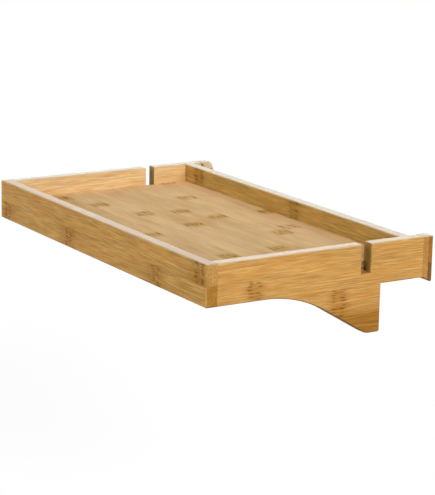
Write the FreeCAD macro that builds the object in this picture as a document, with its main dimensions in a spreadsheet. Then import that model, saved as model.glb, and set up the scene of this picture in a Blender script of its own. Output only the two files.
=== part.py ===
import FreeCAD, Part
import math
import os

import Sketcher

# A clip-on bedside tray of glued bamboo board.  Two side plates carry a front rail, a back
# wall and a grooved-in floor.  Behind the tray each plate runs on over the bed's side rail,
# drops a curved leg down the rail's outer face, and meets a rear rail whose bevelled lip
# hooks behind it.  All butt joints are held by blind dowels and glue.
#
# Axes: X runs along the bed, Y from the room towards the mattress, Z up.  The origin is the
# seat on the bed's side rail: midway between the plates, at the legs' rear faces, level
# with the plates' undersides.  Sizes are in millimetres and degrees.

SIZES = {
    # the frame of boards
    "tray_length": 560,         # over the outer faces of the side plates
    "board_thickness": 16,      # stock of the rails, the wall and the plates
    "band_height": 54,          # height of the boards round the tray
    "front_reach": 260,         # front face of the front rail to the legs' rear faces
    "edge_round": 2.0,          # radius sanded on the edges that hands touch
    # the clip over the bed's side rail
    "bed_gap": 65,              # legs' rear faces to the rear rail: room for the bed rail
    "wall_gap": 12,             # open space between the back wall and the rear rail
    "leg_drop": 63,             # underside of the plates to the foot of the leg
    "curve_radius": 175,        # hollow curve from the plate's underside into the leg
    "slope_angle": 30.8,        # slope of the leg's front edge below level
    "foot_radius": 19,          # rounding from that slope into the foot
    "foot_flat": 16,            # flat of the foot, in front of the leg's rear face
    "foot_corner": 2.5,         # rounding of the foot's rear corner
    # the slot in each plate
    "slot_width": 14,
    "slot_depth": 38,
    "slot_to_leg": 17,          # rear cheek of the slot to the leg's rear face
    "slot_lip": 1.0,            # rounding of the slot's two upper corners
    # the floor panel and its groove
    "floor_thickness": 12,
    "floor_underside": 16,      # above the plates' undersides
    "groove_depth": 6,
    "groove_slack": 0.2,        # play over the panel in its groove
    "panel_slack": 0.5,         # room for the panel to swell at each groove's bottom
    "notch_slack": 0.5,         # the panel's notches stand this far off the slots
    # the rear rail
    "lip_drop": 8,              # lip below the plates' undersides
    "scoop_drop": 24,           # middle of the rear rail below its ends
    "ear_overlap": 2,           # full-height end of the rear rail, past the plate it covers
    "shoulder_angle": 50,       # slope from the end down into the scoop
    "shoulder_top_radius": 7,
    "shoulder_foot_radius": 14,
    # the dowels
    "dowel_diameter": 6,
    "dowel_length": 25,
    "dowel_slack": 0.1,         # bore over dowel, on the diameter
    "dowel_end_gap": 0.5,       # glue space at each bore's bottom
    "bore_web": 4.5,            # wood left behind a bore in a board's face
    "end_dowel_inset": 9,       # dowels in the plates' ends, from the band's two edges
    "wall_dowel_offset": 5,     # dowels in the back wall's ends, from the floor's groove
}

# Places worked out from those sizes, in the frame described above.
PLACES = {
    # along X
    "half_length": "=tray_length / 2",
    "inner_half": "=tray_length / 2 - board_thickness",
    "inner_length": "=tray_length - 2 * board_thickness",
    "groove_half": "=inner_half + groove_depth",
    "panel_half": "=inner_half + groove_depth - panel_slack",
    "panel_notch_half": "=inner_half - notch_slack",
    "ear_inner": "=inner_half - ear_overlap",
    "scoop_end": "=ear_inner - scoop_drop / tan(shoulder_angle * 1deg)",
    "middle": "=board_thickness / 2",
    "end_dowel_x": "=tray_length / 2 - board_thickness / 2",
    # along Y
    "y_front": "=-front_reach",
    "y_plate": "=board_thickness - front_reach",
    "y_slot_front": "=-slot_to_leg - slot_width",
    "y_slot_rear": "=-slot_to_leg",
    "y_wall_rear": "=bed_gap - wall_gap",
    "y_wall": "=y_wall_rear - board_thickness",
    "y_groove_rear": "=y_wall + groove_depth",
    "tray_width": "=y_wall - y_plate",
    "y_panel_front": "=y_plate - groove_depth + panel_slack",
    "y_panel_rear": "=y_groove_rear - panel_slack",
    "y_notch_front": "=y_slot_front - notch_slack",
    "y_notch_rear": "=y_slot_rear + notch_slack",
    "y_wall_dowel": "=y_wall + board_thickness / 2",
    # along Z
    "z_slot": "=band_height - slot_depth",
    "z_groove_top": "=floor_underside + floor_thickness + groove_slack",
    "z_foot": "=-leg_drop",
    "z_lip": "=-lip_drop",
    "z_scoop": "=band_height - scoop_drop",
    "z_end_dowel": "=end_dowel_inset",
    "z_end_dowel_top": "=band_height - end_dowel_inset",
    "z_wall_dowel": "=floor_underside - wall_dowel_offset",
    "z_wall_dowel_top": "=z_groove_top + wall_dowel_offset",
    # dowels and their bores
    "bore_diameter": "=dowel_diameter + dowel_slack",
    "face_bore_depth": "=board_thickness - bore_web",
    "dowel_in_face": "=face_bore_depth - dowel_end_gap",
    "end_bore_depth": "=dowel_length - dowel_in_face + dowel_end_gap",
    "y_front_dowels": "=y_plate - dowel_in_face",
    "y_rear_dowels": "=bed_gap + dowel_in_face - dowel_length",
    "x_left_dowels": "=-inner_half - dowel_in_face",
    "x_right_dowels": "=inner_half + dowel_in_face - dowel_length",
}

NEAR = 1e-4                     # how close, in mm, two places count as the same
END_LEVELS = ("z_end_dowel", "z_end_dowel_top")
WALL_LEVELS = ("z_wall_dowel", "z_wall_dowel_top")

doc = FreeCAD.newDocument("BedsideTray")


def make_sheet():
    """Write every size, then every place, in column B with its alias."""
    page = doc.addObject("Spreadsheet::Sheet", "Sizes")
    cells = list(SIZES.items()) + list(PLACES.items())
    for row, (alias, content) in enumerate(cells, start=1):
        page.set("A%d" % row, alias)
        page.set("B%d" % row, str(content))
        page.setAlias("B%d" % row, alias)
    doc.recompute()
    return page


sheet = make_sheet()


def value(cell):
    """The number in a cell; a leading minus sign turns it round and "0" is zero."""
    if cell == "0":
        return 0.0
    if cell.startswith("-"):
        return -value(cell[1:])
    return float(sheet.get(cell))


def bind(thing, prop, cell):
    """Tie a property of an object, or a named constraint of a sketch, to a cell."""
    sign = "-" if cell.startswith("-") else ""
    thing.setExpression(prop, "%sSizes.%s" % (sign, cell.lstrip("-")))


# ---- bodies and sketches --------------------------------------------------------------

def new_body(label):
    body = doc.addObject("PartDesign::Body", label)
    body.Label = label
    return body


def origin_feature(body, role):
    return [item for item in body.Origin.OriginFeatures if item.Role == role][0]


def new_sketch(body, name, plane, level="0"):
    """A sketch on one of the body's own origin planes, or parallel to it at a level."""
    sketch = body.newObject("Sketcher::SketchObject", body.Label + "_" + name)
    sketch.AttachmentSupport = [(origin_feature(body, plane), "")]
    sketch.MapMode = "FlatFace"
    if level != "0":
        bind(sketch, "AttachmentOffset.Base.z", level)
    return sketch


def dimension(sketch, cell, kind, *where):
    """A dimension whose value is tied to a cell."""
    number = sketch.addConstraint(Sketcher.Constraint(kind, *where, value(cell)))
    name = "%s_%d" % (kind, number)
    sketch.renameConstraint(number, name)
    bind(sketch, "Constraints." + name, cell)


def fix(sketch, curve, end, across=None, up=None):
    """Hold an end of a curve at cells' distances from the sketch's own axes."""
    for kind, axis, cell in (("DistanceX", -2, across), ("DistanceY", -1, up)):
        if cell == "0":
            sketch.addConstraint(Sketcher.Constraint("PointOnObject", curve, end, axis))
        elif cell is not None:
            dimension(sketch, cell, kind, -1, 1, curve, end)


def outline(sketch, corners):
    """A closed run of straight lines; each corner is a pair of cells."""
    points = [FreeCAD.Vector(value(across), value(up), 0) for across, up in corners]
    count = len(points)
    for index in range(count):
        following = points[(index + 1) % count]
        sketch.addGeometry(Part.LineSegment(points[index], following), False)
    for index in range(count):
        following = (index + 1) % count
        sketch.addConstraint(Sketcher.Constraint("Coincident", index, 2, following, 1))
    for index, (across, up) in enumerate(corners):
        fix(sketch, index, 1, across, up)


def rectangle(sketch, left, right, low, high):
    outline(sketch, ((left, low), (right, low), (right, high), (left, high)))


def circles(sketch, diameter, centres):
    """Equal circles; each centre is a pair of cells."""
    upright = FreeCAD.Vector(0, 0, 1)
    for index, (across, up) in enumerate(centres):
        centre = FreeCAD.Vector(value(across), value(up), 0)
        sketch.addGeometry(Part.Circle(centre, upright, value(diameter) / 2), False)
        dimension(sketch, diameter, "Diameter", index)
        fix(sketch, index, 3, across, up)


# ---- features -------------------------------------------------------------------------

def new_feature(body, kind, sketch, flip):
    feature = body.newObject("PartDesign::" + kind, sketch.Name + "_" + kind.lower())
    feature.Profile = sketch
    feature.Reversed = flip
    sketch.Visibility = False
    return feature


def pad(body, sketch, length, flip=False):
    feature = new_feature(body, "Pad", sketch, flip)
    bind(feature, "Length", length)
    doc.recompute()


def check_cut(feature, volume_before):
    """Stop if a cut that should take wood away points out of the board."""
    doc.recompute()
    if feature.Shape.Volume > volume_before - NEAR:
        raise ValueError("%s cuts no wood" % feature.Name)


def pocket(body, sketch, length, flip=False, both_ways=False):
    volume_before = body.Tip.Shape.Volume
    feature = new_feature(body, "Pocket", sketch, flip)
    feature.Midplane = both_ways
    bind(feature, "Length", length)
    check_cut(feature, volume_before)


def drill(body, name, plane, level, centres, depth, flip=False):
    """Flat-bottomed dowel bores from one face of a board."""
    volume_before = body.Tip.Shape.Volume
    sketch = new_sketch(body, name, plane, level)
    circles(sketch, "bore_diameter", centres)
    doc.recompute()
    feature = new_feature(body, "Hole", sketch, flip)
    feature.DepthType = "Dimension"
    feature.DrillPoint = "Flat"
    bind(feature, "Diameter", "bore_diameter")
    bind(feature, "Depth", depth)
    check_cut(feature, volume_before)


def lies(edge, axis, place):
    """True if the whole edge lies at one place on an axis."""
    box = edge.BoundBox
    low = getattr(box, axis + "Min")
    high = getattr(box, axis + "Max")
    return abs(low - place) < NEAR and abs(high - place) < NEAR


def fillet(body, name, radius, wanted):
    """Round the edges for which wanted(edge) is true."""
    base = body.Tip
    names = ["Edge%d" % number for number, edge in enumerate(base.Shape.Edges, start=1)
             if wanted(edge)]
    feature = body.newObject("PartDesign::Fillet", body.Label + "_" + name)
    feature.Base = (base, names)
    bind(feature, "Radius", radius)
    doc.recompute()


def ease(body, name, plane, corner, turns, start, span):
    """Round one straight edge by hand between two boards, and leave it square beside them.

    corner is the edge's place in the sketch, turns are the signs of the two directions
    from there into the wood, and the edge runs on from the level start for a span."""
    sketch = new_sketch(body, name, plane, start)
    radius = value("edge_round")
    inward = FreeCAD.Vector(turns[0], turns[1], 0)
    tip = FreeCAD.Vector(value(corner[0]), value(corner[1]), 0)
    side = tip + FreeCAD.Vector(turns[0] * radius, 0, 0)
    below = tip + FreeCAD.Vector(0, turns[1] * radius, 0)
    belly = tip + inward * radius * (1 - math.sqrt(0.5))
    sketch.addGeometry(Part.LineSegment(tip, side), False)
    sketch.addGeometry(Part.Arc(side, belly, below), False)
    sketch.addGeometry(Part.LineSegment(below, tip), False)
    # a sketch keeps every arc anticlockwise, so its ends swap with the turn's direction
    at_side, at_below = (1, 2) if turns[0] * turns[1] < 0 else (2, 1)
    add = sketch.addConstraint
    add(Sketcher.Constraint("Tangent", 0, 2, 1, at_side))
    add(Sketcher.Constraint("Tangent", 1, at_below, 2, 1))
    add(Sketcher.Constraint("Coincident", 2, 2, 0, 1))
    add(Sketcher.Constraint("Horizontal", 0))
    add(Sketcher.Constraint("Vertical", 2))
    dimension(sketch, "edge_round", "Radius", 1)
    fix(sketch, 0, 1, *corner)
    pocket(body, sketch, span)


# ---- the side plates ------------------------------------------------------------------

def plate_profile(sketch):
    """Side plate seen along X: the band with its slot, and the curved leg.

    The leg's front edge is one smooth run: level underside, hollow arc, straight slope
    and toe arc, each tangent to the next, down to the flat sole of the foot."""
    slope = math.radians(value("slope_angle"))
    hollow_radius, toe_radius = value("curve_radius"), value("foot_radius")
    drop = value("leg_drop")
    steep = FreeCAD.Vector(math.sin(slope), math.cos(slope), 0)
    half_steep = FreeCAD.Vector(math.sin(slope / 2), math.cos(slope / 2), 0)

    sole_front = FreeCAD.Vector(-value("foot_flat"), -drop, 0)
    toe_centre = sole_front + FreeCAD.Vector(0, toe_radius, 0)
    slope_end = toe_centre - steep * toe_radius
    slope_drop = drop - (hollow_radius + toe_radius) * (1 - math.cos(slope))
    slope_start = slope_end + FreeCAD.Vector(-slope_drop / math.tan(slope), slope_drop, 0)
    hollow_start = FreeCAD.Vector(slope_start.x - hollow_radius * math.sin(slope), 0, 0)
    hollow_centre = hollow_start - FreeCAD.Vector(0, hollow_radius, 0)

    front, rear, top = value("y_plate"), value("bed_gap"), value("band_height")
    slot_front, slot_rear = value("y_slot_front"), value("y_slot_rear")
    slot_floor = value("z_slot")
    square_run = [FreeCAD.Vector(across, up, 0) for across, up in (
        (sole_front.x, -drop), (0, -drop), (0, 0), (rear, 0), (rear, top),
        (slot_rear, top), (slot_rear, slot_floor), (slot_front, slot_floor),
        (slot_front, top), (front, top), (front, 0))]
    curves = [
        Part.LineSegment(square_run[-1], hollow_start),
        Part.Arc(hollow_start, hollow_centre + half_steep * hollow_radius, slope_start),
        Part.LineSegment(slope_start, slope_end),
        Part.Arc(slope_end, toe_centre - half_steep * toe_radius, sole_front),
    ]
    curves += [Part.LineSegment(start, end)
               for start, end in zip(square_run[:-1], square_run[1:])]
    for curve in curves:
        sketch.addGeometry(curve, False)

    (underside, hollow, incline, toe, sole, leg_rear, seat, rear_end, rear_top,
     slot_rear_cheek, slot_bottom, slot_front_cheek, front_top, front_end) = range(14)
    add = sketch.addConstraint
    # the hollow is the one arc drawn clockwise, so its stored ends are the other way round
    add(Sketcher.Constraint("Tangent", underside, 2, hollow, 2))
    add(Sketcher.Constraint("Tangent", hollow, 1, incline, 1))
    add(Sketcher.Constraint("Tangent", incline, 2, toe, 1))
    add(Sketcher.Constraint("Tangent", toe, 2, sole, 1))
    for index in range(sole, front_end):
        add(Sketcher.Constraint("Coincident", index, 2, index + 1, 1))
    add(Sketcher.Constraint("Coincident", front_end, 2, underside, 1))
    for level in (underside, sole, seat, rear_top, slot_bottom, front_top):
        add(Sketcher.Constraint("Horizontal", level))
    for upright in (leg_rear, rear_end, slot_rear_cheek, slot_front_cheek, front_end):
        add(Sketcher.Constraint("Vertical", upright))
    number = add(Sketcher.Constraint("Angle", incline, -slope))
    sketch.renameConstraint(number, "Slope")
    sketch.setExpression("Constraints.Slope", "-Sizes.slope_angle * 1deg")
    dimension(sketch, "curve_radius", "Radius", hollow)
    dimension(sketch, "foot_radius", "Radius", toe)
    dimension(sketch, "foot_flat", "DistanceX", sole, 1, sole, 2)
    fix(sketch, sole, 2, up="z_foot")
    fix(sketch, seat, 1, across="0", up="0")
    fix(sketch, seat, 2, across="bed_gap")
    fix(sketch, rear_top, 1, up="band_height")
    fix(sketch, slot_rear_cheek, 1, across="y_slot_rear")
    fix(sketch, slot_bottom, 1, up="z_slot")
    fix(sketch, slot_front_cheek, 1, across="y_slot_front")
    fix(sketch, front_top, 1, up="band_height")
    fix(sketch, underside, 1, across="y_plate", up="0")


def side_plate(label, side):
    """One side plate, built on its inner face; side is its sign in X."""
    body = new_body(label)
    profile = new_sketch(body, "profile", "YZ_Plane")
    plate_profile(profile)
    pad(body, profile, "board_thickness", flip=side < 0)

    to_right = side > 0         # a cut from the inner face runs against a pad
    groove = new_sketch(body, "groove", "YZ_Plane")
    rectangle(groove, "y_plate", "y_groove_rear", "floor_underside", "z_groove_top")
    pocket(body, groove, "groove_depth", flip=to_right)

    across = "middle" if to_right else "-middle"
    end_bores = [(across, z) for z in END_LEVELS]
    wall_bores = [("y_wall_dowel", z) for z in WALL_LEVELS]
    drill(body, "front_bores", "XZ_Plane", "-y_plate", end_bores, "end_bore_depth")
    drill(body, "rear_bores", "XZ_Plane", "-bed_gap", end_bores, "end_bore_depth", flip=True)
    drill(body, "wall_bores", "YZ_Plane", "0", wall_bores, "face_bore_depth", flip=to_right)

    top, foot = value("band_height"), value("z_foot")
    cheeks = (value("y_slot_front"), value("y_slot_rear"))
    fillet(body, "foot_corner", "foot_corner",
           lambda edge: lies(edge, "Z", foot) and lies(edge, "Y", 0))
    fillet(body, "outer_edges", "edge_round", lambda edge: plate_edge(edge, side))
    fillet(body, "slot_lips", "slot_lip", lambda edge: (
        lies(edge, "Z", top) and any(lies(edge, "Y", cheek) for cheek in cheeks)))
    corner = ("0", "band_height")
    ease(body, "tray_edge", "XZ_Plane", corner, (side, -1), "-y_plate", "tray_width")
    ease(body, "gap_edge", "XZ_Plane", corner, (side, -1), "-y_wall_rear", "wall_gap")
    bind(body, "Placement.Base.x", "inner_half" if to_right else "-inner_half")
    return body


def plate_edge(edge, side):
    """The outer face's edges, with the slot's rim, and the inner face's below the band."""
    if lies(edge, "Y", value("y_plate")) or lies(edge, "Y", value("bed_gap")):
        return False
    if lies(edge, "X", side * value("board_thickness")):
        return True
    return lies(edge, "X", 0) and edge.BoundBox.ZMax < NEAR


# ---- the boards that run along the bed ------------------------------------------------

END_BORES = [(x, z) for x in ("-end_dowel_x", "end_dowel_x") for z in END_LEVELS]


def front_rail():
    """The board across the front; it covers the plates' ends and shows its own."""
    body = new_body("front_rail")
    face = new_sketch(body, "face", "XZ_Plane")
    rectangle(face, "-half_length", "half_length", "0", "band_height")
    pad(body, face, "board_thickness", flip=True)

    back = "-board_thickness"
    groove = new_sketch(body, "groove", "XZ_Plane", back)
    rectangle(groove, "-groove_half", "groove_half", "floor_underside", "z_groove_top")
    pocket(body, groove, "groove_depth", flip=True)
    drill(body, "bores", "XZ_Plane", back, END_BORES, "face_bore_depth", flip=True)

    half, top = value("half_length"), value("band_height")

    def outer_edge(edge):
        on_end = lies(edge, "X", half) or lies(edge, "X", -half)
        level = lies(edge, "Z", 0) or lies(edge, "Z", top)
        return lies(edge, "Y", 0) or (on_end and level)

    fillet(body, "outer_edges", "edge_round", outer_edge)
    corner = ("board_thickness", "band_height")
    ease(body, "tray_edge", "YZ_Plane", corner, (-1, -1), "inner_half", "inner_length")
    bind(body, "Placement.Base.y", "y_front")
    return body


def back_wall():
    """The board between the plates that closes the tray on the bed's side."""
    body = new_body("back_wall")
    face = new_sketch(body, "face", "XZ_Plane")
    rectangle(face, "-inner_half", "inner_half", "0", "band_height")
    pad(body, face, "board_thickness", flip=True)

    groove = new_sketch(body, "groove", "XZ_Plane")
    rectangle(groove, "-inner_half", "inner_half", "floor_underside", "z_groove_top")
    pocket(body, groove, "groove_depth")
    bores = [("middle", z) for z in WALL_LEVELS]
    drill(body, "left_bores", "YZ_Plane", "-inner_half", bores, "end_bore_depth", flip=True)
    drill(body, "right_bores", "YZ_Plane", "inner_half", bores, "end_bore_depth")

    top = value("band_height")
    fillet(body, "long_edges", "edge_round", lambda edge: (
        edge.BoundBox.XLength > NEAR and (lies(edge, "Z", top) or lies(edge, "Z", 0))))
    bind(body, "Placement.Base.y", "y_wall")
    return body


def rear_rail():
    """The hook board behind the bed rail: full height at its ends, scooped between them,
    and bevelled underneath so that its lip rides over the bed rail."""
    body = new_body("rear_rail")
    face = new_sketch(body, "face", "XZ_Plane")
    outline(face, (
        ("-half_length", "z_lip"), ("half_length", "z_lip"),
        ("half_length", "band_height"), ("ear_inner", "band_height"),
        ("scoop_end", "z_scoop"), ("-scoop_end", "z_scoop"),
        ("-ear_inner", "band_height"), ("-half_length", "band_height")))
    pad(body, face, "board_thickness", flip=True)

    bevel = new_sketch(body, "bevel", "YZ_Plane")
    outline(bevel, (("0", "0"), ("0", "z_lip"), ("board_thickness", "z_lip")))
    pocket(body, bevel, "tray_length", both_ways=True)
    drill(body, "bores", "XZ_Plane", "0", END_BORES, "face_bore_depth")

    top, scoop = value("band_height"), value("z_scoop")
    half, ear, end = value("half_length"), value("ear_inner"), value("scoop_end")
    thick, inner = value("board_thickness"), value("inner_half")
    fillet(body, "shoulder_feet", "shoulder_foot_radius", lambda edge: (
        lies(edge, "Z", scoop) and (lies(edge, "X", end) or lies(edge, "X", -end))))
    fillet(body, "shoulder_tops", "shoulder_top_radius", lambda edge: (
        lies(edge, "Z", top) and (lies(edge, "X", ear) or lies(edge, "X", -ear))))

    def bare_edge(edge):
        box = edge.BoundBox
        on_end = lies(edge, "X", half) or lies(edge, "X", -half)
        if lies(edge, "Y", thick):
            return True
        if lies(edge, "Y", 0):
            return box.ZMin > scoop - NEAR and max(-box.XMin, box.XMax) < inner
        return on_end

    fillet(body, "bare_edges", "edge_round", bare_edge)
    bind(body, "Placement.Base.y", "bed_gap")
    return body


# ---- the floor ------------------------------------------------------------------------

def floor_panel():
    """The tray's floor, let into grooves on all four sides and notched at the slots."""
    body = new_body("floor_panel")
    plan = new_sketch(body, "plan", "XY_Plane")
    outline(plan, (
        ("-panel_half", "y_panel_front"), ("panel_half", "y_panel_front"),
        ("panel_half", "y_notch_front"), ("panel_notch_half", "y_notch_front"),
        ("panel_notch_half", "y_notch_rear"), ("panel_half", "y_notch_rear"),
        ("panel_half", "y_panel_rear"), ("-panel_half", "y_panel_rear"),
        ("-panel_half", "y_notch_rear"), ("-panel_notch_half", "y_notch_rear"),
        ("-panel_notch_half", "y_notch_front"), ("-panel_half", "y_notch_front")))
    pad(body, plan, "floor_thickness")
    bind(body, "Placement.Base.z", "floor_underside")
    return body


# ---- the dowels -----------------------------------------------------------------------

def dowel_pair(label, plane, centres, x_cell="0", y_cell="0"):
    """Two plain dowels on the bores' own centres, laid along the plane's normal.

    A sketch on the XZ plane looks along Y and its pad grows towards -Y, so that pad is
    turned round: on both planes a dowel then runs on from its end of lowest coordinate."""
    body = new_body(label)
    ends = new_sketch(body, "ends", plane)
    circles(ends, "dowel_diameter", centres)
    pad(body, ends, "dowel_length", flip=plane == "XZ_Plane")
    for axis, cell in (("x", x_cell), ("y", y_cell)):
        if cell != "0":
            bind(body, "Placement.Base." + axis, cell)
    return body


def end_dowels(label, sign, y_cell):
    """The pair that joins a plate's end to the front or the rear rail."""
    centres = [("0", z) for z in END_LEVELS]
    return dowel_pair(label, "XZ_Plane", centres, sign + "end_dowel_x", y_cell)


def wall_dowels(label, x_cell):
    """The pair that joins an end of the back wall to a plate's inner face."""
    centres = [("y_wall_dowel", z) for z in WALL_LEVELS]
    return dowel_pair(label, "YZ_Plane", centres, x_cell=x_cell)


# ---- the assembly ---------------------------------------------------------------------

BOARDS = [front_rail(), side_plate("left_side_plate", -1), side_plate("right_side_plate", 1),
          back_wall(), rear_rail(), floor_panel()]
DOWELS = [end_dowels("front_left_dowels", "-", "y_front_dowels"),
          end_dowels("front_right_dowels", "", "y_front_dowels"),
          wall_dowels("back_left_dowels", "x_left_dowels"),
          wall_dowels("back_right_dowels", "x_right_dowels"),
          end_dowels("rear_left_dowels", "-", "y_rear_dowels"),
          end_dowels("rear_right_dowels", "", "y_rear_dowels")]
doc.recompute()

for item in doc.Objects:
    if any(word in item.State for word in ("Invalid", "Error")):
        raise ValueError("%s did not compute: %s" % (item.Label, item.State))
for bodies, solids in ((BOARDS, 1), (DOWELS, 2)):
    for body in bodies:
        shape = body.Shape
        if shape.isNull() or not shape.isValid() or len(shape.Solids) != solids:
            raise ValueError("%s is not %d sound solids" % (body.Label, solids))

os.makedirs("parts", exist_ok=True)
for body in BOARDS + DOWELS:
    body.Shape.exportStep(os.path.join("parts", body.Label + ".step"))
    print("%-20s %9.0f mm3" % (body.Label, body.Shape.Volume))
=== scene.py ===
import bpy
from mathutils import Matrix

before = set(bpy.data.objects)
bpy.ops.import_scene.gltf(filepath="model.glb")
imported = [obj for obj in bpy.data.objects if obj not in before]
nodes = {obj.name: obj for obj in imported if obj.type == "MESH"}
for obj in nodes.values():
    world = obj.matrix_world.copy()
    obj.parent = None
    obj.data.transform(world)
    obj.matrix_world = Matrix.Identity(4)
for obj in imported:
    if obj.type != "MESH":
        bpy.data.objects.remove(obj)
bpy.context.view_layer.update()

import math

import bmesh
import bpy
from mathutils import Quaternion, Vector

MM = 0.001
scene = bpy.context.scene


# ---- Camera -----------------------------------------------------------------------------
# A long lens looks down the front rail from the right, a little above the tray, and leans
# a touch to the left.

CAMERA_PLACE = (2.2030, -1.4540, 0.6220)
CAMERA_HEADING = 147.85          # of the line of sight, from +X towards +Y, in degrees
CAMERA_TILT = -13.565            # of the line of sight, above level, in degrees
CAMERA_ROLL = 1.175              # turn of the camera about that line, in degrees
FOCAL_LENGTH = 142.7             # in mm, for a sensor 36 mm along the image's longer side

heading, tilt = math.radians(CAMERA_HEADING), math.radians(CAMERA_TILT)
sight = Vector((math.cos(tilt) * math.cos(heading), math.cos(tilt) * math.sin(heading),
                math.sin(tilt)))
lens = bpy.data.cameras.new("camera")
lens.lens = FOCAL_LENGTH
camera = bpy.data.objects.new("camera", lens)
scene.collection.objects.link(camera)
camera.rotation_mode = "QUATERNION"
roll = Quaternion(sight, math.radians(-CAMERA_ROLL))
camera.rotation_quaternion = roll @ sight.to_track_quat("-Z", "Y")
camera.location = CAMERA_PLACE
scene.camera = camera


# ---- Front rail -------------------------------------------------------------------------
# The board across the front, 16 mm thick, pressed from two layers of flattened bamboo
# strips, doweled and glued over the plates' front ends, and lacquered satin. Every other
# board is of the same stock, so the bamboo itself is made here.

STRIP_WIDTH = 27.0               # of a flattened cane, in mm
STRIP_THICKNESS = 8.0
OUTSIDE = 0.4                    # how far outside a board, in mm, its first strip begins
FAR = 1000.0                     # in mm, past the end of any board


def paint(red, green, blue):
    """A display colour, 0 to 255, as the linear colour that the shader wants."""
    def linear(level):
        level /= 255
        return level / 12.92 if level <= 0.04045 else ((level + 0.055) / 1.055) ** 2.4
    return (linear(red), linear(green), linear(blue), 1.0)


class Wiring:
    """A node tree, and short ways to add nodes to it."""

    def __init__(self, tree):
        self.tree = tree

    def join(self, given, socket):
        """Feeds a socket from another socket, or sets its value."""
        if isinstance(given, bpy.types.NodeSocket):
            self.tree.links.new(given, socket)
        else:
            socket.default_value = given

    def add(self, kind, settings=None, **inputs):
        """A node with its settings; inputs are values or sockets, by the socket's name."""
        made = self.tree.nodes.new(kind)
        for name, setting in (settings or {}).items():
            setattr(made, name, setting)
        for name, given in inputs.items():
            self.join(given, made.inputs[name.replace("_", " ")])
        return made

    def work_out(self, kind, operation, given):
        """The outputs of a math node, whose inputs are given in their order."""
        made = self.add(kind, {"operation": operation})
        for number, socket in zip(given, made.inputs):
            self.join(number, socket)
        return made.outputs

    def math(self, operation, *given):
        return self.work_out("ShaderNodeMath", operation, given)[0]

    def vector(self, operation, *given):
        return self.work_out("ShaderNodeVectorMath", operation, given)[0]

    def distance(self, first, second):
        return self.work_out("ShaderNodeVectorMath", "DISTANCE", (first, second))["Value"]

    def brighten(self, colour, level):
        """A colour times a number."""
        made = self.add("ShaderNodeVectorMath", {"operation": "SCALE"}, Vector=colour,
                        Scale=level)
        return made.outputs[0]

    def split(self, given):
        """The three numbers of a vector."""
        return self.add("ShaderNodeSeparateXYZ", Vector=given).outputs

    def combine(self, x, y, z):
        return self.add("ShaderNodeCombineXYZ", X=x, Y=y, Z=z).outputs[0]

    def ramp(self, number, start, end, low=0.0, high=1.0):
        """low up to start, high from end on, and a smooth run between them."""
        made = self.add("ShaderNodeMapRange", {"interpolation_type": "SMOOTHSTEP"},
                        Value=number, From_Min=start, From_Max=end, To_Min=low, To_Max=high)
        return made.outputs[0]

    def either_side(self, number, spread):
        """A number from 0 to 1, shifted to lie about 0 and spread over a range."""
        return self.math("MULTIPLY", self.math("SUBTRACT", number, 0.5), spread)

    def luck(self, strip):
        """A random Value and a random Color for each strip."""
        return self.add("ShaderNodeTexWhiteNoise", {"noise_dimensions": "3D"},
                        Vector=strip).outputs

    def noise(self, place, along, across, detail=2.0, roughness=0.5):
        """Noise with so many waves in a mm along the fibres, and across them."""
        made = self.add("ShaderNodeTexNoise", Scale=1.0, Detail=detail, Roughness=roughness,
                        Vector=self.vector("MULTIPLY", place, (along, across, across)))
        return made.outputs[0]

    def to_cell(self, place, per_mm, randomness):
        """The distance to the nearest of many scattered points, so many in a mm."""
        made = self.add("ShaderNodeTexVoronoi", {"feature": "F1"}, Scale=1.0,
                        Randomness=randomness, Vector=self.vector("MULTIPLY", place, per_mm))
        return made.outputs["Distance"]

    def mix(self, share, first, second):
        """The first colour, with a share of the second."""
        made = self.add("ShaderNodeMix", {"data_type": "RGBA"})
        for given, index in ((share, 0), (first, 6), (second, 7)):
            self.join(given, made.inputs[index])
        return made.outputs[2]


def new_group(name, inputs, outputs):
    """An empty shader group; inputs are (name, kind, usual value), outputs (name, kind)."""
    group = bpy.data.node_groups.new(name, "ShaderNodeTree")
    for label, kind, usual in inputs:
        made = group.interface.new_socket(label, in_out="INPUT",
                                          socket_type="NodeSocket" + kind)
        made.default_value = usual
    for label, kind in outputs:
        group.interface.new_socket(label, in_out="OUTPUT", socket_type="NodeSocket" + kind)
    return group, Wiring(group)


def strip_group():
    """Which strip a place is in: its row across the board and its layer through it.

    A place is in mm: (along the grain, through the board, across the strips)."""
    group, wire = new_group("bamboo_strip", (
        ("Place", "Vector", (0, 0, 0)), ("Width", "Float", STRIP_WIDTH),
        ("Width Below", "Float", STRIP_WIDTH), ("Layer", "Float", STRIP_THICKNESS)),
        (("Strip", "Vector"), ("To Edge", "Float")))
    given = group.nodes.new("NodeGroupInput").outputs
    place = wire.split(given["Place"])
    below = wire.math("LESS_THAN", place[2], 0.0)
    above = wire.math("SUBTRACT", 1.0, below)
    width = wire.math("ADD", wire.math("MULTIPLY", below, given["Width Below"]),
                      wire.math("MULTIPLY", above, given["Width"]))

    def place_in(distance, size):
        """The strip's number, and the distance in mm to its nearer edge."""
        share = wire.math("DIVIDE", distance, size)
        part = wire.math("FRACT", share)
        near = wire.math("MINIMUM", part, wire.math("SUBTRACT", 1.0, part))
        return wire.math("FLOOR", share), wire.math("MULTIPLY", near, size)

    row, row_edge = place_in(place[2], width)
    layer, layer_edge = place_in(place[1], given["Layer"])
    out = group.nodes.new("NodeGroupOutput")
    wire.join(wire.combine(0.0, layer, row), out.inputs["Strip"])
    wire.join(wire.math("MINIMUM", row_edge, layer_edge), out.inputs["To Edge"])
    return group


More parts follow.
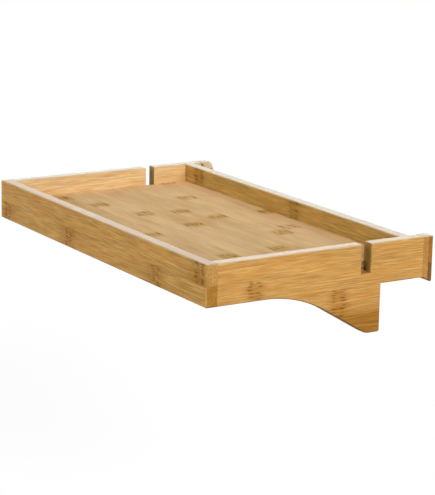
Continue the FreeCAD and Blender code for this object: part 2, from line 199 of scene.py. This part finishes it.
def knuckle_group():
    """The smaller of a distance so far and the distance to one more knuckle.

    Knuckle is its place in mm along the grain, its layer and its row; a knuckle in another
    strip counts as far off."""
    group, wire = new_group("bamboo_knuckle", (
        ("Place", "Vector", (0, 0, 0)), ("Strip", "Vector", (0, 0, 0)),
        ("Knuckle", "Vector", (0, 0, 0)), ("Nearest", "Float", FAR)),
        (("Nearest", "Float"),))
    given = group.nodes.new("NodeGroupInput").outputs
    along = wire.vector("MULTIPLY", given["Place"], (1.0, 0.0, 0.0))
    strip = wire.vector("MULTIPLY", given["Strip"], (0.0, FAR, FAR))
    wanted = wire.vector("MULTIPLY", given["Knuckle"], (1.0, FAR, FAR))
    apart = wire.distance(wire.vector("ADD", along, strip), wanted)
    out = group.nodes.new("NodeGroupOutput")
    wire.join(wire.math("MINIMUM", apart, given["Nearest"]), out.inputs["Nearest"])
    return group


def knuckle_marks(wire, given, luck, placed, swayed):
    """A knuckle's belt, a little darker, and the columns of short dashes on its two sides."""
    ragged = wire.either_side(wire.noise(placed, 0.02, 0.24), 14.0)
    off = wire.math("ABSOLUTE", wire.math("ADD", given["Knuckle"], ragged))
    belt = wire.ramp(off, given["Belt"], 3.0)
    apart = wire.math("ADD", 2.0, wire.math("MULTIPLY", luck["Value"], 6.0))
    column = wire.ramp(wire.math("ABSOLUTE", wire.math("SUBTRACT", off, apart)), 6.5, 1.5)
    dash = wire.ramp(wire.to_cell(swayed, given["Dashes"], 0.85), 0.66, 0.26)
    patchy = wire.ramp(wire.noise(placed, 0.09, 0.14), 0.30, 0.52, 0.45)
    dash = wire.math("MULTIPLY", dash, patchy)
    marks = wire.math("MULTIPLY", dash, wire.math("MAXIMUM", column,
                                                  wire.math("MULTIPLY", belt, 0.36)))
    return belt, marks


def bamboo_group():
    """The bamboo's colour, roughness and height at a place in its strip."""
    group, wire = new_group("bamboo", (
        ("Place", "Vector", (0, 0, 0)), ("Facing", "Vector", (0, 0, 0)),
        ("Strip", "Vector", (0, 0, 0)), ("To Edge", "Float", 10.0),
        ("Knuckle", "Float", FAR), ("Seed", "Float", 0.0), ("Tone Spread", "Float", 0.06),
        ("Face Tone", "Float", 1.0), ("End Tone", "Float", 1.0),
        ("Pale", "Color", paint(228, 180, 106)), ("Dark", "Color", paint(176, 123, 54)),
        ("Warm", "Color", paint(206, 141, 62)), ("Caramel", "Color", (1.0, 0.78, 0.20, 1.0)),
        ("Stain", "Color", paint(112, 58, 14)), ("End", "Color", paint(188, 135, 68)),
        # the pale colour, its share and the height it starts from paint a highlight on faces that
        # look up
        ("Sanded", "Color", paint(244, 240, 214)), ("Sanded Share", "Float", 0.34),
        ("Sanded From", "Float", 34.0), ("Sawn Sides", "Float", 0.0),
        ("Belt", "Float", 22.0), ("Dashes", "Vector", (0.05, 0.40, 0.40))),
        (("Colour", "Color"), ("Roughness", "Float"), ("Height", "Float")))
    given = group.nodes.new("NodeGroupInput").outputs

    # each strip is cut from another cane: its own tone, and its own piece of the pattern
    luck = wire.luck(wire.vector("ADD", given["Strip"], wire.combine(given["Seed"], 0.0, 0.0)))
    cut_from = wire.vector("MULTIPLY", luck["Color"], (900.0, 90.0, 90.0))
    placed = wire.vector("ADD", given["Place"], cut_from)
    sway = wire.either_side(wire.noise(placed, 0.007, 0.020, detail=1.0), 3.0)
    swayed = wire.vector("ADD", placed, wire.combine(0.0, sway, sway))

    # fibres: broad streaks, fine threads, and short brown flecks between them
    streak = wire.noise(swayed, 0.012, 0.40, roughness=0.55)
    thread = wire.noise(swayed, 0.030, 1.15, roughness=0.60)
    fleck = wire.ramp(wire.noise(swayed, 0.060, 1.20, roughness=0.55), 0.56, 0.68)
    cloud = wire.noise(placed, 0.012, 0.055)
    blush = wire.noise(placed, 0.016, 0.110)
    belt, marks = knuckle_marks(wire, given, luck, placed, swayed)

    # the end grain, on faces square to the fibres, with the cut ends of the bundles; a board
    # with sawn sides has the end grain's colour there too
    faced = wire.split(given["Facing"])
    square = wire.math("ABSOLUTE", faced[0])
    sawn = wire.math("MULTIPLY", wire.math("ABSOLUTE", faced[1]), given["Sawn Sides"])
    end_grain = wire.ramp(wire.math("MAXIMUM", square, sawn), 0.15, 0.80)
    dot = wire.ramp(wire.to_cell(swayed, (0.004, 0.85, 0.85), 0.9), 0.36, 0.16)
    glue = wire.ramp(given["To Edge"], 0.30, 0.06)

    # painted shade on slopes that face down and cut across the fibres, such as the leg's slope
    painted_slope_shade = wire.math("MULTIPLY", wire.ramp(square, 0.10, 0.35),
                       wire.ramp(faced[2], -0.15, -0.60))

    # rounded edges: a painted highlight where they face up, and painted shade where they face
    # down;
    # the painted highlight stops below a given height across the board, so a slot's foot has none
    sides = wire.split(wire.vector("ABSOLUTE", given["Facing"]))
    flattest = wire.math("MAXIMUM", sides[0], wire.math("MAXIMUM", sides[1], sides[2]))
    rounded = wire.ramp(flattest, 0.985, 0.90)
    lit_edge = wire.math("MULTIPLY", rounded, wire.ramp(faced[2], 0.35, 0.75))
    # painted shade on rounded edges that look down
    shaded_edge = wire.math("MULTIPLY", rounded, wire.ramp(faced[2], -0.10, -0.45))
    # painted highlight: faces and rounded edges that look up take a pale colour, as if lit by
    # glare
    painted_highlight = wire.math("MULTIPLY", wire.ramp(faced[2], 0.40, 0.80), given["Sanded Share"])
    painted_highlight = wire.math("MAXIMUM", painted_highlight, wire.math("MULTIPLY", lit_edge, 0.50))
    across = wire.split(given["Place"])[2]
    painted_highlight = wire.math("MULTIPLY", painted_highlight,
                       wire.math("GREATER_THAN", across, given["Sanded From"]))

    # colour: the fibres, the end grain over them, then what lies on both
    grain = wire.math("ADD", wire.math("MULTIPLY", streak, 0.22),
                      wire.math("MULTIPLY", thread, 0.78))
    colour = wire.mix(wire.ramp(grain, 0.28, 0.72), given["Dark"], given["Pale"])
    colour = wire.mix(wire.ramp(blush, 0.40, 0.68, 0.0, 0.42), colour, given["Warm"])
    colour = wire.mix(wire.math("MULTIPLY", fleck, 0.16), colour, given["Stain"])
    end_colour = wire.mix(wire.math("MULTIPLY", dot, 0.42), given["End"], given["Stain"])
    end_colour = wire.mix(wire.ramp(streak, 0.38, 0.66, 0.0, 0.36), end_colour, given["Pale"])
    colour = wire.mix(end_grain, colour, end_colour)
    # the painted highlight
    colour = wire.mix(painted_highlight, colour, given["Sanded"])
    # knuckle marks and glue lines are darker by nature; the darkening of slopes and rounded edges
    # that face down is painted shade
    for darkened, share in ((marks, 0.50), (glue, 0.30), (painted_slope_shade, 0.75), (shaded_edge, 0.35)):
        colour = wire.mix(wire.math("MULTIPLY", darkened, share), colour, given["Stain"])

    # tone: a darker strip, belt or mark is also more caramel
    by_luck = wire.either_side(luck["Value"], wire.math("MULTIPLY", given["Tone Spread"], 2.0))
    by_cloud = wire.either_side(cloud, 0.42)
    tone = wire.math("ADD", 1.0, wire.math("ADD", by_luck, by_cloud))
    for darkened, share in ((belt, 0.14), (marks, 0.17)):
        tone = wire.math("SUBTRACT", tone, wire.math("MULTIPLY", darkened, share))
    given_tone = wire.add("ShaderNodeMix", A=given["Face Tone"], B=given["End Tone"],
                          Factor=wire.ramp(square, 0.80, 0.95))
    tone = wire.math("MULTIPLY", tone, given_tone.outputs[0])
    caramel = wire.mix(wire.ramp(tone, 1.0, 0.62, 0.0, 0.85), (1, 1, 1, 1), given["Caramel"])
    colour = wire.brighten(wire.vector("MULTIPLY", colour, caramel), tone)

    # lacquer lies thinner over open grain and knuckles; dots, marks and glue lie deeper
    rough = 0.36
    for open_grain, share in ((thread, 0.16), (end_grain, 0.12), (marks, 0.10)):
        rough = wire.math("ADD", rough, wire.math("MULTIPLY", open_grain, share))
    height = wire.math("ADD", wire.math("MULTIPLY", thread, 0.5),
                       wire.math("MULTIPLY", streak, 0.5))
    for sunk, depth in ((dot, 0.25), (marks, 0.40), (glue, 0.50)):
        height = wire.math("SUBTRACT", height, wire.math("MULTIPLY", sunk, depth))

    out = group.nodes.new("NodeGroupOutput")
    wire.join(colour, out.inputs["Colour"])
    wire.join(rough, out.inputs["Roughness"])
    wire.join(height, out.inputs["Height"])
    return group


STRIP, KNUCKLE, BAMBOO = strip_group(), knuckle_group(), bamboo_group()
ALONG_X = (0.0, 0.0, 0.0)                    # turns that lay the grain along an axis
ALONG_Y = (0.0, 0.0, math.radians(-90))


def strip_tone(wire, strip, tones):
    """A level that is 1 but in the named strips: tones are (layer, row, level)."""
    total = 1.0
    for layer, row, level in tones:
        inside = wire.math("LESS_THAN", wire.distance(strip, (0.0, layer, row)), 0.5)
        total = wire.math("ADD", total, wire.math("MULTIPLY", inside, level - 1.0))
    return total


def chance_knuckle(wire, strip, along, least, greatest):
    """The distance to the nearest knuckle, where they follow each other in a strip at a
    distance of its own between the least and the greatest, all in mm."""
    luck = wire.luck(strip)
    spacing = wire.ramp(wire.split(luck["Color"])[1], 0.0, 1.0, least, greatest)
    share = wire.math("FRACT", wire.math("ADD", luck["Value"],
                                         wire.math("DIVIDE", along, spacing)))
    return wire.math("MULTIPLY", spacing,
                     wire.math("ABSOLUTE", wire.math("SUBTRACT", share, 0.5)))


def bamboo_board(name, turn, corner, knuckles, strips=None, every=None, face=(), end=(),
                 fade=None, gloss=0.22, **values):
    """A board's material, whose grain the turn lays along it.

    corner is the place, in mm, where its first strip begins. knuckles are (mm along the
    grain from there, layer, row), and every is the least and the greatest distance in mm
    between knuckles that fall by luck. strips holds the sizes of strips that aren't the
    usual ones. face and end name the strips whose face or end grain has a tone of its own,
    as (layer, row, level), and fade is a tone that comes in across the strips, as (start,
    end, level). The values left go to the bamboo by the names of its inputs."""
    material = bpy.data.materials.new(name)
    material.use_nodes = True
    wire = Wiring(material.node_tree)
    shader = material.node_tree.nodes["Principled BSDF"]
    given = wire.add("ShaderNodeTexCoord").outputs
    moved = wire.add("ShaderNodeMapping", {"vector_type": "TEXTURE"}, Vector=given["Object"],
                     Location=Vector(corner) * MM, Scale=(MM, MM, MM))
    place = wire.add("ShaderNodeMapping", Vector=moved.outputs[0], Rotation=turn).outputs[0]
    facing = wire.add("ShaderNodeMapping", {"vector_type": "NORMAL"}, Vector=given["Normal"],
                      Rotation=turn).outputs[0]
    found = wire.add("ShaderNodeGroup", {"node_tree": STRIP}, Place=place, **(strips or {}))
    strip = found.outputs["Strip"]
    nearest = chance_knuckle(wire, strip, wire.split(place)[0], *every) if every else FAR
    for knuckle in knuckles:
        nearest = wire.add("ShaderNodeGroup", {"node_tree": KNUCKLE}, Place=place, Strip=strip,
                           Knuckle=knuckle, Nearest=nearest).outputs[0]
    face_tone = strip_tone(wire, strip, face)
    if fade:
        start, finish, level = fade
        faded = wire.ramp(wire.split(place)[2], start, finish, 1.0, level)
        face_tone = wire.math("MULTIPLY", face_tone, faded)
    wood = wire.add("ShaderNodeGroup", {"node_tree": BAMBOO}, Place=place, Facing=facing,
                    Strip=strip, To_Edge=found.outputs["To Edge"], Knuckle=nearest,
                    Face_Tone=face_tone, End_Tone=strip_tone(wire, strip, end), **values)
    bump = wire.add("ShaderNodeBump", Strength=0.25, Distance=0.2 * MM,
                    Height=wood.outputs["Height"])
    wire.join(wood.outputs["Colour"], shader.inputs["Base Color"])
    wire.join(wood.outputs["Roughness"], shader.inputs["Roughness"])
    wire.join(bump.outputs[0], shader.inputs["Normal"])
    shader.inputs["Specular IOR Level"].default_value = gloss
    return material


def reach(name, axis, pick):
    """How far a CAD node reaches along an axis, in mm; pick is min or max."""
    places = [vertex.co[axis] / MM for vertex in nodes[name].data.vertices]
    return round(pick(places), 3)


def first_corner(name, outside=(OUTSIDE, OUTSIDE, OUTSIDE)):
    """A place just outside the lowest corner of a CAD node, in mm."""
    return [reach(name, axis, min) - outside[axis] for axis in range(3)]


def finish_with(name, material):
    """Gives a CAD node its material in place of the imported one."""
    for material_slot in nodes[name].material_slots:
        material_slot.material = material


finish_with("front_rail", bamboo_board(
    "front_rail_bamboo", ALONG_X, first_corner("front_rail"),
    ((208, 0, 0), (440, 0, 0), (544, 0, 1), (22, 0, 0), (120, 1, 0), (395, 1, 0), (250, 1, 1)),
    end=((0, 0, 0.77), (1, 0, 0.74), (0, 1, 1.05), (1, 1, 1.00)), gloss=0.10, Seed=1.0, Belt=36.0,
    Pale=paint(232, 185, 107), Dark=paint(172, 120, 50), End=paint(191, 142, 78),
    # a cool painted highlight on the rail's top
    Sanded=paint(212, 216, 198), Sanded_Share=0.30, Dashes=(0.11, 0.50, 0.50)))


# ---- Side plates ------------------------------------------------------------------------
# Two boards of the same stock with the grain running front to back, cut to one outline with
# a slot and a curved leg. The leg's slope carries painted shade, the leg's lower strip is darker
# and the plate grows darker towards the leg's foot, and the left plate's colours are paler
# than the right one's: painted light, for light bounced into the tray.

for side, seed, knuckles, colours in (
        ("left", 5.0, ((70, 1, 0), (262, 1, 0), (150, 0, 0), (60, 1, 1), (165, 1, 1),
                       (205, 1, -1), (200, 0, -1)),
         # the left plate's paler colours are painted light, for light bounced onto its inner face
         {"Pale": paint(233, 204, 156), "Dark": paint(190, 151, 98),
          "Warm": paint(213, 165, 104), "Sanded": paint(216, 214, 196)}),
        ("right", 7.0, ((110, 1, 0), (275, 1, 1), (53, 0, 0), (179, 0, -1), (185, 1, -1)),
         {})):
    plate = side + "_side_plate"
    corner = (reach(plate, 0, max) + OUTSIDE, reach(plate, 1, min),
              reach("front_rail", 2, min) - OUTSIDE)
    finish_with(plate, bamboo_board(
        side + "_plate_bamboo", ALONG_Y, corner, knuckles, {"Width_Below": 36.0},
        # the lower strip's tone and the fade make the leg darker towards its foot
        face=((0, -2, 0.88), (1, -2, 0.88)), fade=(-14.0, -46.0, 0.73),
        Seed=seed, Tone_Spread=0.03, End=paint(168, 132, 58), **colours))


# ---- Back wall --------------------------------------------------------------------------
# The board between the plates that closes the tray on the bed's side, doweled and glued to
# both of them. Its colours are darker and greyer than the others': painted shade, for the
# inside of the tray.

finish_with("back_wall", bamboo_board(
    "back_wall_bamboo", ALONG_X, first_corner("back_wall"),
    ((40, 0, 1), (290, 0, 1), (150, 0, 0), (400, 0, 0), (100, 1, 1), (330, 1, 1), (220, 1, 0)),
    # darker, greyer colours: painted shade inside the tray
    Seed=11.0, Pale=paint(202, 170, 97), Dark=paint(152, 113, 46), Warm=paint(181, 131, 56)))


# ---- Rear rail --------------------------------------------------------------------------
# The scooped hook board behind the bed rail, as long as the front rail, doweled and glued
# over the plates' rear ends. Its outer layer of strips is thinner than the inner one, and
# darker at the end grain; the lowest of those strips is darker still at its end, painted
# shade under the hook's lip.

LIP_DROP = 8.0                   # of the hook's lip, in mm, below the other boards' undersides

lip_corner = (reach("rear_rail", 0, min) - OUTSIDE, reach("rear_rail", 1, min) - OUTSIDE,
              reach("front_rail", 2, min) - LIP_DROP - OUTSIDE)
finish_with("rear_rail", bamboo_board(
    "rear_rail_bamboo", ALONG_X, lip_corner,
    ((100, 0, 0), (330, 0, 0), (210, 0, 1), (55, 1, 0), (290, 1, 0), (500, 1, 0), (20, 1, 1),
     (545, 1, 1)), {"Layer": 9.0},
    # the outer layer's lowest strip, darker still at its end: painted shade under the hook's lip
    end=((0, 0, 0.94), (0, 1, 0.98), (0, 2, 0.94), (1, 0, 0.42), (1, 1, 0.68), (1, 2, 0.66)),
    Seed=13.0))


# ---- Floor panel ------------------------------------------------------------------------
# A panel of strips edge-glued side by side, which lies in grooves in the front rail, the
# plates and the back wall. It is sanded matt. Its colours are paler than the other boards',
# painted light for the light that falls on the tray's floor, and its sawn edges and ends are
# very dark, painted shade for the slots where they show.

SAWN_OFF = 1.5                   # of the first strips, in mm, at the front and the left end

finish_with("floor_panel", bamboo_board(
    "floor_panel_bamboo", ALONG_X, first_corner("floor_panel", (SAWN_OFF, SAWN_OFF, OUTSIDE)),
    (), {"Width": 40.0, "Layer": STRIP_WIDTH}, every=(230.0, 360.0), gloss=0.0, Seed=17.0,
    # paler colours: painted light on the tray's floor
    Pale=paint(255, 218, 157), Dark=paint(242, 187, 125), Warm=paint(252, 197, 127),
    # the very dark end colour, also on the sawn sides: painted shade in the slots
    Stain=paint(184, 118, 62), End=paint(84, 66, 30),
    # a weaker painted highlight on the floor's top
    Sanded_Share=0.16, Sanded_From=8.0, Sawn_Sides=1.0))


# ---- Dowels -----------------------------------------------------------------------------
# Turned bamboo pins that hold the boards' corners, two at each, glued into blind holes, so
# that nothing of them shows on the finished tray.

for name in nodes:
    if name.endswith("_dowels"):
        finish_with(name, bamboo_board(name + "_wood", ALONG_X, (0.0, 0.0, 0.0), (), Seed=19.0))


# ---- Studio -----------------------------------------------------------------------------
# A pale floor well below the part, a white surround, and three broad soft lamps: the key from
# the right, the fill from the front and a weaker rim from behind on the left.

WHITE = (1.0, 1.0, 1.0, 1.0)
FLOOR_GREY = (0.35, 0.35, 0.35, 1.0)
FLOOR_GLOW = 0.765               # that the camera sees, and that lights nothing
FLOOR_LEVEL = -0.45
FLOOR_REACH = 30.0
AMBIENT = 0.25                   # of the white surround's strength, as light on the part


def seen(wire):
    """1 for a ray from the camera, straight or by way of metal or glass, and 0 for light."""
    ray = wire.add("ShaderNodeLightPath").outputs
    return wire.math("MAXIMUM", ray["Is Camera Ray"],
                     wire.math("MAXIMUM", ray["Is Glossy Ray"], ray["Is Transmission Ray"]))


floor_material = bpy.data.materials.new("studio_floor_white")
floor_material.use_nodes = True
floor_wire = Wiring(floor_material.node_tree)
floor_inputs = floor_material.node_tree.nodes["Principled BSDF"].inputs
floor_inputs["Base Color"].default_value = FLOOR_GREY
floor_inputs["Roughness"].default_value = 1.0
floor_inputs["Specular IOR Level"].default_value = 0.0
floor_inputs["Emission Color"].default_value = WHITE
floor_wire.join(floor_wire.math("MULTIPLY", seen(floor_wire), FLOOR_GLOW),
                floor_inputs["Emission Strength"])

floor_shape = bmesh.new()
bmesh.ops.create_grid(floor_shape, x_segments=1, y_segments=1, size=FLOOR_REACH)
bmesh.ops.translate(floor_shape, verts=floor_shape.verts, vec=(0.0, 0.0, FLOOR_LEVEL))
floor_mesh = bpy.data.meshes.new("studio_floor")
floor_shape.to_mesh(floor_mesh)
floor_shape.free()
floor_mesh.materials.append(floor_material)
studio_floor = bpy.data.objects.new("studio_floor", floor_mesh)
scene.collection.objects.link(studio_floor)

world = bpy.data.worlds.new("studio")
scene.world = world
world.use_nodes = True
air = Wiring(world.node_tree)
surround = world.node_tree.nodes["Background"].inputs
surround["Color"].default_value = WHITE
air.join(air.math("ADD", AMBIENT, air.math("MULTIPLY", seen(air), 1.0 - AMBIENT)),
         surround["Strength"])

# each lamp: its name, the way its light travels, the level on a face square to it, how wide
# it looks from the part, in degrees, and its tint
for name, towards, level, spread, tint in (
        ("key", (-0.940, 0.050, -0.338), 0.735, 36.0, (1.0, 1.0, 1.0)),
        ("fill", (0.000, 1.000, -0.087), 0.59, 60.0, (1.0, 1.0, 1.0)),
        ("rim", (0.821, -0.517, -0.242), 0.42, 45.0, (0.95, 1.0, 1.05))):
    lamp = bpy.data.lights.new(name, "SUN")
    lamp.energy = level * math.pi
    lamp.angle = math.radians(spread)
    lamp.color = tint
    made = bpy.data.objects.new(name, lamp)
    made.rotation_mode = "QUATERNION"
    made.rotation_quaternion = Vector(towards).to_track_quat("-Z", "Y")
    scene.collection.objects.link(made)

scene.view_settings.view_transform = "Standard"
